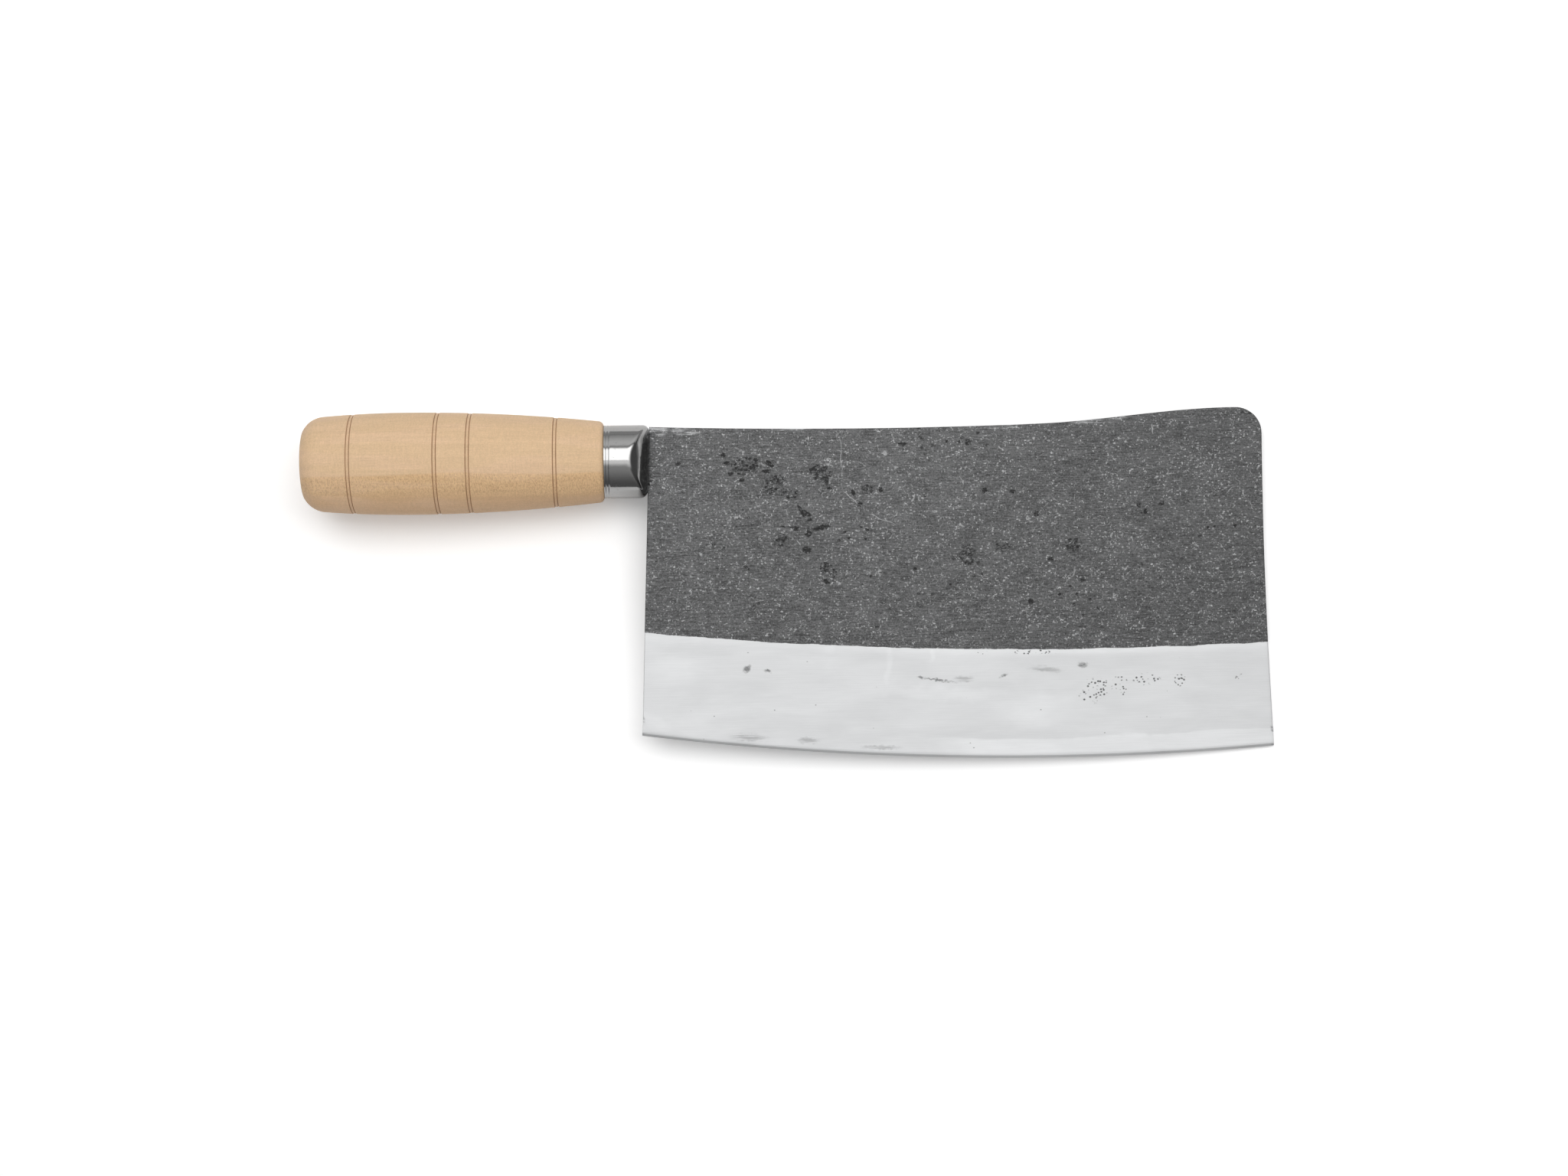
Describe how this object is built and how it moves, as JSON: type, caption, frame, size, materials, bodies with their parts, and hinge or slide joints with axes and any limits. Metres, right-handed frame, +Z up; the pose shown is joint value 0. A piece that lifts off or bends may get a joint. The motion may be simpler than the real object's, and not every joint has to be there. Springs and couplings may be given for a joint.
{
  "type": "chinese cleaver",
  "caption": "Heavy kitchen cleaver with a broad forged blade, a ground bevel, a steel ferrule and a turned wooden handle, lying on its side.",
  "frame": {"origin": "on the table, under the middle of the object's box, with the knife lying on its side", "axes": "+Z up from the table, +X along the handle towards the blade's front edge, +Y towards the spine"},
  "size_m": [0.3301, 0.12, 0.0358],
  "materials": {
    "forged_steel": "dark forge scale on the cheeks, ground satin bevel below",
    "hard_steel": "ground satin with a honed edge",
    "stainless_steel": "polished stainless steel",
    "wood": "turned, sanded and lightly oiled pale hardwood"
  },
  "bodies": {
    "root": {"blade_body": "forged_steel", "edge_steel": "hard_steel", "ferrule": "stainless_steel", "handle": "wood"}
  },
  "joints": []
}
